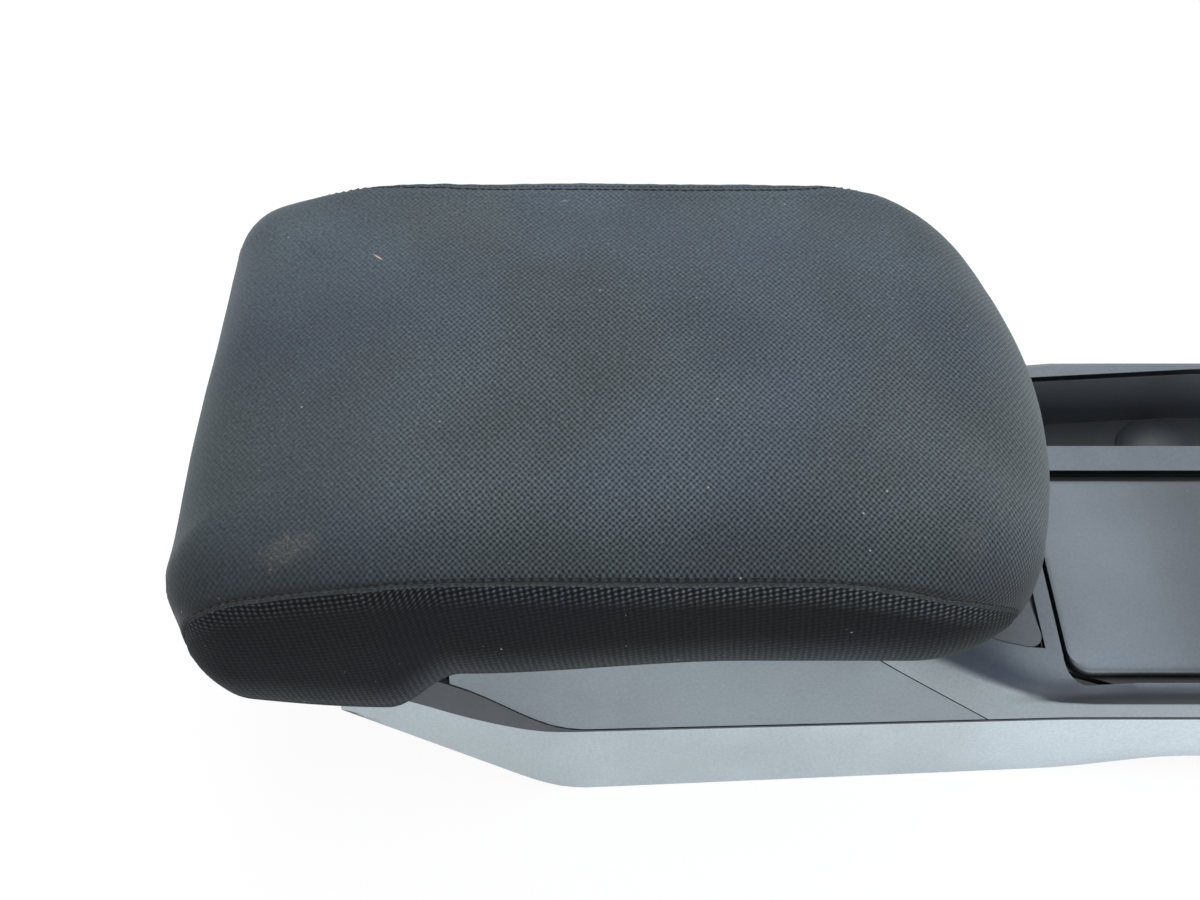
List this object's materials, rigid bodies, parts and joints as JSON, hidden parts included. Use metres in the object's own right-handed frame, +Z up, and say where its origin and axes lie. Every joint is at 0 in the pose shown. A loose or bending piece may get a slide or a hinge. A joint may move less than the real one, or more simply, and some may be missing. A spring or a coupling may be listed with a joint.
{
  "type": "car tunnel console",
  "caption": "Centre tunnel console for a car, with a padded fabric armrest hinged over a storage bin, a lidded cup well compartment and an open handbrake well.",
  "frame": {"origin": "middle of the bounding box at its base, on the floor plane under the brackets and sills", "axes": "+X towards the front of the car, +Y to the driver's side (left in a left-hand-drive car), +Z up"},
  "size_m": [0.6, 0.192, 0.1569],
  "materials": {
    "deck": "satin charcoal, fine moulded grain",
    "side": "satin charcoal, fine moulded grain",
    "lid": "leather-like moulded grain",
    "liner": "matt black",
    "carrier": "matt, unpainted",
    "mat": "ribbed rubber",
    "stop": "soft rubber",
    "bracket": "black dip coat",
    "pin": "zinc plated",
    "screw": "zinc plated",
    "spring": "oiled spring steel",
    "plunger": "natural nylon",
    "frame": "black dip coat",
    "board": "pressed fibre board",
    "tray": "satin black",
    "fabric": "woven, padded",
    "lever": "satin black"
  },
  "bodies": {
    "console": {"front_trim": "deck", "side_panel_left": "side", "side_panel_right": "side", "sill_left": "side", "sill_right": "side", "rear_cover": "side", "carrier": "carrier", "rear_bracket": "bracket", "front_bracket": "bracket", "bracket_screws": "screw", "bin_rim": "deck", "bin_liner": "liner", "bin_mat": "mat", "bump_stops": "stop", "striker": "pin", "cup_insert": "liner", "cup_mats": "mat", "lid_pin": "pin", "latch_housing": "liner", "plunger_spring": "spring", "handbrake_well": "liner", "hinge_bracket": "bracket", "hinge_pin": "pin", "hinge_bolts": "screw", "armrest_spring": "spring"},
    "armrest": {"armrest_frame": "frame", "armrest_board": "board", "armrest_tray": "tray", "armrest_cushion": "fabric", "board_screws": "screw", "latch_pin": "pin", "latch_spring": "spring"},
    "latch_lever": {"latch_lever": "lever"},
    "cup_lid": {"cup_lid": "lid"},
    "latch_plunger": {"latch_plunger": "plunger"}
  },
  "joints": [
    {"name": "armrest_hinge", "type": "hinge", "parent": "console", "child": "armrest", "pos_m": [-0.268, 0, 0.084], "axis": [0, -1, 0], "range_deg": [0, 80]},
    {"name": "latch_lever_pivot", "type": "hinge", "parent": "armrest", "child": "latch_lever", "pos_m": [-0.038, 0, 0.112], "axis": [0, -1, 0], "range_deg": [0, 8], "stiffness_Nm_per_rad": 0.2, "springref_deg": -5.73, "deforming": ["latch_spring"]},
    {"name": "cup_lid_hinge", "type": "hinge", "parent": "console", "child": "cup_lid", "pos_m": [0.2175, 0, 0.0611], "axis": [0, 1, 0], "range_deg": [0, 85]},
    {"name": "latch_plunger_slide", "type": "slide", "parent": "console", "child": "latch_plunger", "axis": [0, 0, -1], "range_m": [0, 0.003], "stiffness_N_per_m": 200, "springref_m": -0.002, "deforming": ["plunger_spring"]}
  ]
}
